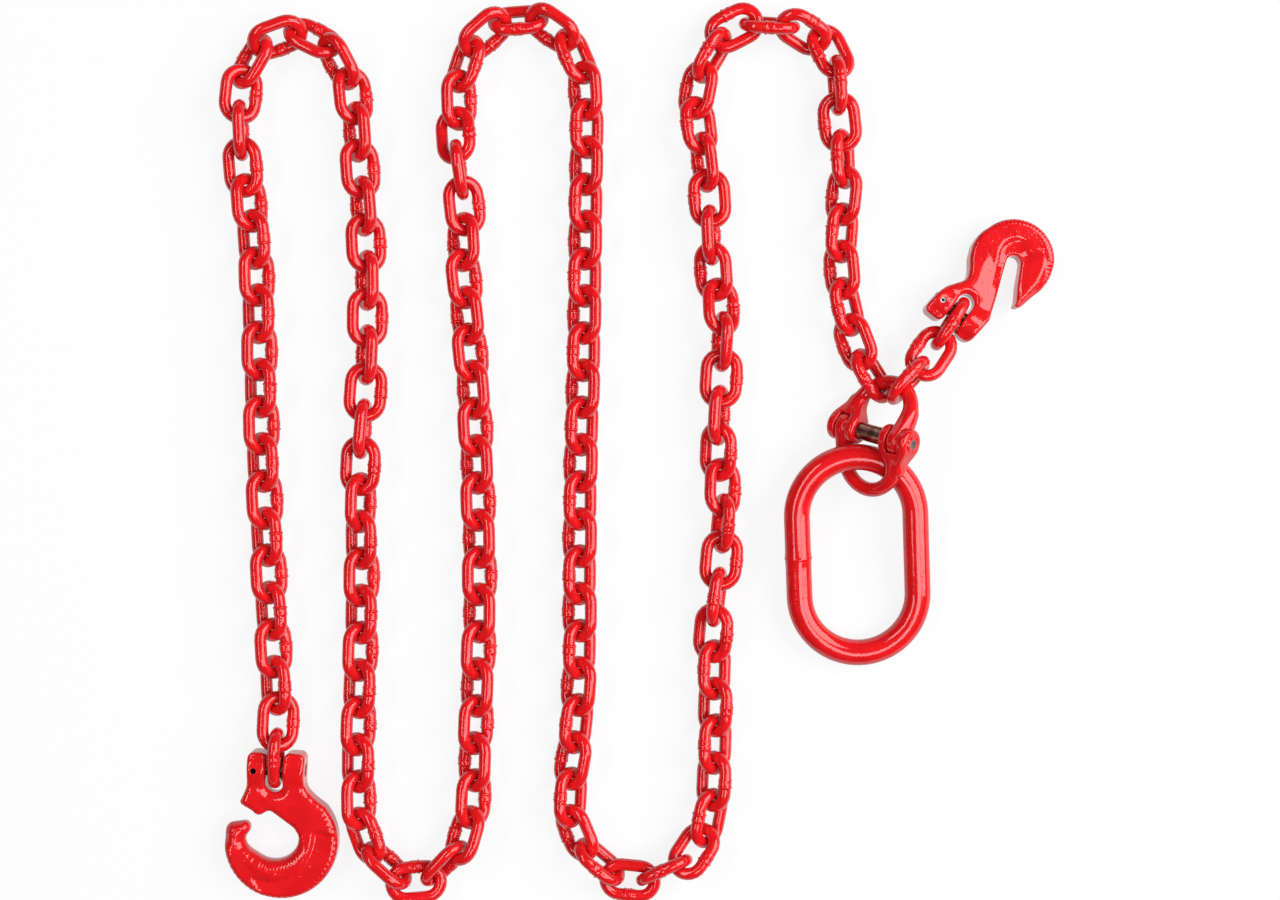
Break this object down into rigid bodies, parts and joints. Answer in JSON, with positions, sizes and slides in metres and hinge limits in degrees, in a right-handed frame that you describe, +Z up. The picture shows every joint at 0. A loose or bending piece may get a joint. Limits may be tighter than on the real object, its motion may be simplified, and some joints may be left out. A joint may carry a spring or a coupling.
{
  "type": "logging chain",
  "caption": "Long run of welded steel chain with a choker hook at its end, held by a two-piece coupling to an oblong master link and a short leg with a grab hook.",
  "frame": {"origin": "middle of the laid chain's bounding box, at the height of its lowest point", "axes": "+Z up from the floor it lies on, +Y along the straight passes from the choker hook's end towards the upper bends, +X from the choker hook's side to the grab hook's side"},
  "size_m": [0.5438, 0.5886, 0.0584],
  "materials": {
    "red_paint": "gloss",
    "bare_steel": "satin",
    "dark_steel": "satin"
  },
  "bodies": {
    "master_link": {"master_link": "red_paint"},
    "coupling_lower": {"coupling_lower": "red_paint"},
    "coupling_upper": {"coupling_upper": "red_paint", "load_pin": "bare_steel", "retaining_sleeve": "dark_steel"},
    "chain_01": {"chain_01": "red_paint"},
    "chain_02": {"chain_02": "red_paint"},
    "chain_03": {"chain_03": "red_paint"},
    "chain_04": {"chain_04": "red_paint"},
    "chain_05": {"chain_05": "red_paint"},
    "chain_06": {"chain_06": "red_paint"},
    "chain_07": {"chain_07": "red_paint"},
    "chain_08": {"chain_08": "red_paint"},
    "chain_09": {"chain_09": "red_paint"},
    "chain_10": {"chain_10": "red_paint"},
    "chain_11": {"chain_11": "red_paint"},
    "chain_12": {"chain_12": "red_paint"},
    "chain_13": {"chain_13": "red_paint"},
    "chain_14": {"chain_14": "red_paint"},
    "chain_15": {"chain_15": "red_paint"},
    "chain_16": {"chain_16": "red_paint"},
    "chain_17": {"chain_17": "red_paint"},
    "chain_18": {"chain_18": "red_paint"},
    "chain_19": {"chain_19": "red_paint"},
    "chain_20": {"chain_20": "red_paint"},
    "chain_21": {"chain_21": "red_paint"},
    "chain_22": {"chain_22": "red_paint"},
    "chain_23": {"chain_23": "red_paint"},
    "chain_24": {"chain_24": "red_paint"},
    "chain_25": {"chain_25": "red_paint"},
    "chain_26": {"chain_26": "red_paint"},
    "chain_27": {"chain_27": "red_paint"},
    "chain_28": {"chain_28": "red_paint"},
    "chain_29": {"chain_29": "red_paint"},
    "chain_30": {"chain_30": "red_paint"},
    "chain_31": {"chain_31": "red_paint"},
    "chain_32": {"chain_32": "red_paint"},
    "chain_33": {"chain_33": "red_paint"},
    "chain_34": {"chain_34": "red_paint"},
    "chain_35": {"chain_35": "red_paint"},
    "chain_36": {"chain_36": "red_paint"},
    "chain_37": {"chain_37": "red_paint"},
    "chain_38": {"chain_38": "red_paint"},
    "chain_39": {"chain_39": "red_paint"},
    "chain_40": {"chain_40": "red_paint"},
    "chain_41": {"chain_41": "red_paint"},
    "chain_42": {"chain_42": "red_paint"},
    "chain_43": {"chain_43": "red_paint"},
    "chain_44": {"chain_44": "red_paint"},
    "chain_45": {"chain_45": "red_paint"},
    "choker_hook": {"choker_hook": "red_paint", "choker_hook_pin": "bare_steel", "choker_hook_spring_pin": "bare_steel"},
    "leg_link_1": {"leg_link_1": "red_paint"},
    "leg_link_2": {"leg_link_2": "red_paint"},
    "leg_link_3": {"leg_link_3": "red_paint"},
    "grab_hook": {"grab_hook": "red_paint", "grab_hook_pin": "bare_steel", "grab_hook_spring_pin": "bare_steel"}
  },
  "joints": [
    {"name": "coupling_on_master_link", "type": "hinge", "parent": "master_link", "child": "coupling_lower", "pos_m": [0.16653, -0.01097, 0.02473], "axis": [0.8176, -0.57, -0.0809], "range_deg": [0, 40]},
    {"name": "coupling_pin", "type": "hinge", "parent": "coupling_lower", "child": "coupling_upper", "pos_m": [0.15227, 0.01238, 0.02929], "axis": [-0.699, 0.2142, -0.6822], "range_deg": [-80, 25]},
    {"name": "chain_01_swing", "type": "hinge", "parent": "coupling_upper", "child": "chain_01", "pos_m": [0.15627, 0.04433, 0.01636], "axis": [-0.8014, -0.3707, -0.4694], "range_deg": [-80, 80]},
    {"name": "chain_02_swing", "type": "hinge", "parent": "chain_01", "child": "chain_02", "pos_m": [0.13449, 0.11162, 0.01312], "axis": [-0.6686, -0.0242, 0.7433], "range_deg": [-80, 80]},
    {"name": "chain_03_swing", "type": "hinge", "parent": "chain_02", "child": "chain_03", "pos_m": [0.13466, 0.18413, 0.0155], "axis": [-0.8007, -0.0673, -0.5953], "range_deg": [-80, 80]},
    {"name": "chain_04_swing", "type": "hinge", "parent": "chain_03", "child": "chain_04", "pos_m": [0.12922, 0.25544, 0.01241], "axis": [0.159, 0.3325, 0.9296], "range_deg": [-80, 5]},
    {"name": "chain_05_swing", "type": "hinge", "parent": "chain_04", "child": "chain_05", "pos_m": [0.07016, 0.28019, 0.01467], "axis": [-0.0412, -0.0621, 0.9972], "range_deg": [-80, 0]},
    {"name": "chain_06_swing", "type": "hinge", "parent": "chain_05", "child": "chain_06", "pos_m": [0.03948, 0.22152, 0.01304], "axis": [0.6998, 0.1636, 0.6954], "range_deg": [-80, 80]},
    {"name": "chain_07_swing", "type": "hinge", "parent": "chain_06", "child": "chain_07", "pos_m": [0.04787, 0.1499, 0.01621], "axis": [0.9844, 0.023, 0.1745], "range_deg": [-80, 80]},
    {"name": "chain_08_swing", "type": "hinge", "parent": "chain_07", "child": "chain_08", "pos_m": [0.05581, 0.08011, 0.01762], "axis": [-0.9427, 0.0186, 0.3333], "range_deg": [-80, 80]},
    {"name": "chain_09_swing", "type": "hinge", "parent": "chain_08", "child": "chain_09", "pos_m": [0.05328, 0.0086, 0.01345], "axis": [0.4857, 0.1454, -0.862], "range_deg": [-80, 80]},
    {"name": "chain_10_swing", "type": "hinge", "parent": "chain_09", "child": "chain_10", "pos_m": [0.05552, -0.06184, 0.01503], "axis": [0.1878, 0.0429, 0.9813], "range_deg": [-10, 35]},
    {"name": "chain_11_swing", "type": "hinge", "parent": "chain_10", "child": "chain_11", "pos_m": [0.0505, -0.1337, 0.01163], "axis": [0.7912, 0.089, 0.605], "range_deg": [-80, 80]},
    {"name": "chain_12_swing", "type": "hinge", "parent": "chain_11", "child": "chain_12", "pos_m": [0.05044, -0.20628, 0.01334], "axis": [-0.7059, 0.0463, 0.7068], "range_deg": [-80, 80]},
    {"name": "chain_13_swing", "type": "hinge", "parent": "chain_12", "child": "chain_13", "pos_m": [0.02449, -0.26824, 0.01793], "axis": [-0.3715, 0.8597, -0.3505], "range_deg": [-80, 80]},
    {"name": "chain_14_swing", "type": "hinge", "parent": "chain_13", "child": "chain_14", "pos_m": [-0.03564, -0.25521, 0.01254], "axis": [-0.4954, -0.1333, 0.8584], "range_deg": [-80, 80]},
    {"name": "chain_15_swing", "type": "hinge", "parent": "chain_14", "child": "chain_15", "pos_m": [-0.04048, -0.18457, 0.01382], "axis": [-0.7565, 0.0345, -0.6531], "range_deg": [-80, 80]},
    {"name": "chain_16_swing", "type": "hinge", "parent": "chain_15", "child": "chain_16", "pos_m": [-0.03754, -0.11183, 0.01311], "axis": [-0.6553, -0.004, 0.7554], "range_deg": [-80, 80]},
    {"name": "chain_17_swing", "type": "hinge", "parent": "chain_16", "child": "chain_17", "pos_m": [-0.03727, -0.03893, 0.01317], "axis": [0.7485, -0.0062, 0.6631], "range_deg": [-80, 80]},
    {"name": "chain_18_swing", "type": "hinge", "parent": "chain_17", "child": "chain_18", "pos_m": [-0.03566, 0.03395, 0.01311], "axis": [-0.6703, 0.0191, 0.7418], "range_deg": [-80, 80]},
    {"name": "chain_19_swing", "type": "hinge", "parent": "chain_18", "child": "chain_19", "pos_m": [-0.03421, 0.10683, 0.013], "axis": [-0.735, 0.0089, -0.6781], "range_deg": [-80, 80]},
    {"name": "chain_20_swing", "type": "hinge", "parent": "chain_19", "child": "chain_20", "pos_m": [-0.03331, 0.17973, 0.01297], "axis": [-0.6853, 0.0125, 0.7281], "range_deg": [-80, 80]},
    {"name": "chain_21_swing", "type": "hinge", "parent": "chain_20", "child": "chain_21", "pos_m": [-0.03718, 0.25194, 0.01345], "axis": [0.6638, 0.3122, 0.6796], "range_deg": [-80, 80]},
    {"name": "chain_22_swing", "type": "hinge", "parent": "chain_21", "child": "chain_22", "pos_m": [-0.09268, 0.27861, 0.01558], "axis": [-0.4612, 0.5995, -0.6542], "range_deg": [-80, 80]},
    {"name": "chain_23_swing", "type": "hinge", "parent": "chain_22", "child": "chain_23", "pos_m": [-0.11862, 0.21489, 0.01292], "axis": [-0.5404, 0.2202, 0.812], "range_deg": [-80, 80]},
    {"name": "chain_24_swing", "type": "hinge", "parent": "chain_23", "child": "chain_24", "pos_m": [-0.11369, 0.14552, 0.01125], "axis": [0.771, -0.0835, -0.6313], "range_deg": [-80, 80]},
    {"name": "chain_25_swing", "type": "hinge", "parent": "chain_24", "child": "chain_25", "pos_m": [-0.10967, 0.07351, 0.01306], "axis": [0.7046, 0.0473, 0.708], "range_deg": [-80, 80]},
    {"name": "chain_26_swing", "type": "hinge", "parent": "chain_25", "child": "chain_26", "pos_m": [-0.10499, 0.0008, 0.01272], "axis": [-0.7067, -0.0235, 0.7072], "range_deg": [-80, 80]},
    {"name": "chain_27_swing", "type": "hinge", "parent": "chain_26", "child": "chain_27", "pos_m": [-0.103, -0.07207, 0.01278], "axis": [0.7071, 0.0032, 0.7071], "range_deg": [-80, 80]},
    {"name": "chain_28_swing", "type": "hinge", "parent": "chain_27", "child": "chain_28", "pos_m": [-0.10416, -0.14495, 0.01276], "axis": [0.7066, -0.0261, -0.7071], "range_deg": [-80, 80]},
    {"name": "chain_29_swing", "type": "hinge", "parent": "chain_28", "child": "chain_29", "pos_m": [-0.10661, -0.21781, 0.0128], "axis": [0.7063, -0.0339, 0.7071], "range_deg": [-80, 80]},
    {"name": "chain_30_swing", "type": "hinge", "parent": "chain_29", "child": "chain_30", "pos_m": [-0.13706, -0.27861, 0.01496], "axis": [-0.0172, 0.1227, 0.9923], "range_deg": [0, 80]},
    {"name": "chain_31_swing", "type": "hinge", "parent": "chain_30", "child": "chain_31", "pos_m": [-0.18128, -0.23459, 0.01339], "axis": [-0.7753, -0.0543, -0.6292], "range_deg": [-30, 80]},
    {"name": "chain_32_swing", "type": "hinge", "parent": "chain_31", "child": "chain_32", "pos_m": [-0.18163, -0.16178, 0.01301], "axis": [0.6672, -0.0189, -0.7446], "range_deg": [-5, 80]},
    {"name": "chain_33_swing", "type": "hinge", "parent": "chain_32", "child": "chain_33", "pos_m": [-0.18003, -0.0889, 0.01282], "axis": [0.7223, -0.0083, 0.6915], "range_deg": [-80, 0]},
    {"name": "chain_34_swing", "type": "hinge", "parent": "chain_33", "child": "chain_34", "pos_m": [-0.18074, -0.01615, 0.01471], "axis": [0.4612, 0.0786, -0.8838], "range_deg": [0, 80]},
    {"name": "chain_35_swing", "type": "hinge", "parent": "chain_34", "child": "chain_35", "pos_m": [-0.17671, 0.05623, 0.01403], "axis": [-0.9677, 0.0094, 0.252], "range_deg": [-80, 80]},
    {"name": "chain_36_swing", "type": "hinge", "parent": "chain_35", "child": "chain_36", "pos_m": [-0.17657, 0.12903, 0.01423], "axis": [0.4782, 0.0409, 0.8773], "range_deg": [-80, 0]},
    {"name": "chain_37_swing", "type": "hinge", "parent": "chain_36", "child": "chain_37", "pos_m": [-0.18221, 0.20169, 0.01363], "axis": [0.825, 0.0702, -0.5607], "range_deg": [-80, 80]},
    {"name": "chain_38_swing", "type": "hinge", "parent": "chain_37", "child": "chain_38", "pos_m": [-0.20499, 0.26721, 0.01315], "axis": [0.2659, 0.6228, 0.7358], "range_deg": [-80, 0]},
    {"name": "chain_39_swing", "type": "hinge", "parent": "chain_38", "child": "chain_39", "pos_m": [-0.25755, 0.24122, 0.01473], "axis": [-0.4996, -0.0422, -0.8652], "range_deg": [0, 80]},
    {"name": "chain_40_swing", "type": "hinge", "parent": "chain_39", "child": "chain_40", "pos_m": [-0.25444, 0.17102, 0.01195], "axis": [-0.8013, -0.1887, -0.5677], "range_deg": [-80, 80]},
    {"name": "chain_41_swing", "type": "hinge", "parent": "chain_40", "child": "chain_41", "pos_m": [-0.24752, 0.09909, 0.0136], "axis": [0.6512, 0.0375, -0.758], "range_deg": [0, 80]},
    {"name": "chain_42_swing", "type": "hinge", "parent": "chain_41", "child": "chain_42", "pos_m": [-0.24559, 0.02624, 0.013], "axis": [0.7435, 0.0243, 0.6683], "range_deg": [-80, 0]},
    {"name": "chain_43_swing", "type": "hinge", "parent": "chain_42", "child": "chain_43", "pos_m": [-0.24241, -0.04658, 0.013], "axis": [0.6816, 0.0428, -0.7304], "range_deg": [0, 80]},
    {"name": "chain_44_swing", "type": "hinge", "parent": "chain_43", "child": "chain_44", "pos_m": [-0.23805, -0.11935, 0.01278], "axis": [-0.7149, -0.0483, -0.6976], "range_deg": [0, 80]},
    {"name": "chain_45_swing", "type": "hinge", "parent": "chain_44", "child": "chain_45", "pos_m": [-0.23311, -0.19096, 0.0167], "axis": [-0.9761, 0.03, 0.215], "range_deg": [-20, 25]},
    {"name": "choker_clevis", "type": "hinge", "parent": "chain_45", "child": "choker_hook", "pos_m": [-0.23541, -0.20583, 0.01542], "axis": [0.9989, -0.0463, 0], "range_deg": [-80, 80]},
    {"name": "leg_link_1_swing", "type": "hinge", "parent": "coupling_upper", "child": "leg_link_1", "pos_m": [0.1726, 0.04171, 0.02962], "axis": [0.722, -0.5626, 0.4028], "range_deg": [-60, 80]},
    {"name": "leg_link_2_swing", "type": "hinge", "parent": "leg_link_1", "child": "leg_link_2", "pos_m": [0.18628, 0.05839, 0.02292], "axis": [-0.064, 0.3709, 0.9264], "range_deg": [-80, 50]},
    {"name": "leg_link_3_swing", "type": "hinge", "parent": "leg_link_2", "child": "leg_link_3", "pos_m": [0.20031, 0.07702, 0.01675], "axis": [-0.8279, 0.5411, -0.1478], "range_deg": [-50, 50]},
    {"name": "grab_clevis", "type": "hinge", "parent": "leg_link_3", "child": "grab_hook", "pos_m": [0.20811, 0.09066, 0.01543], "axis": [-0.7934, 0.6088, 0], "range_deg": [-80, 80]}
  ]
}
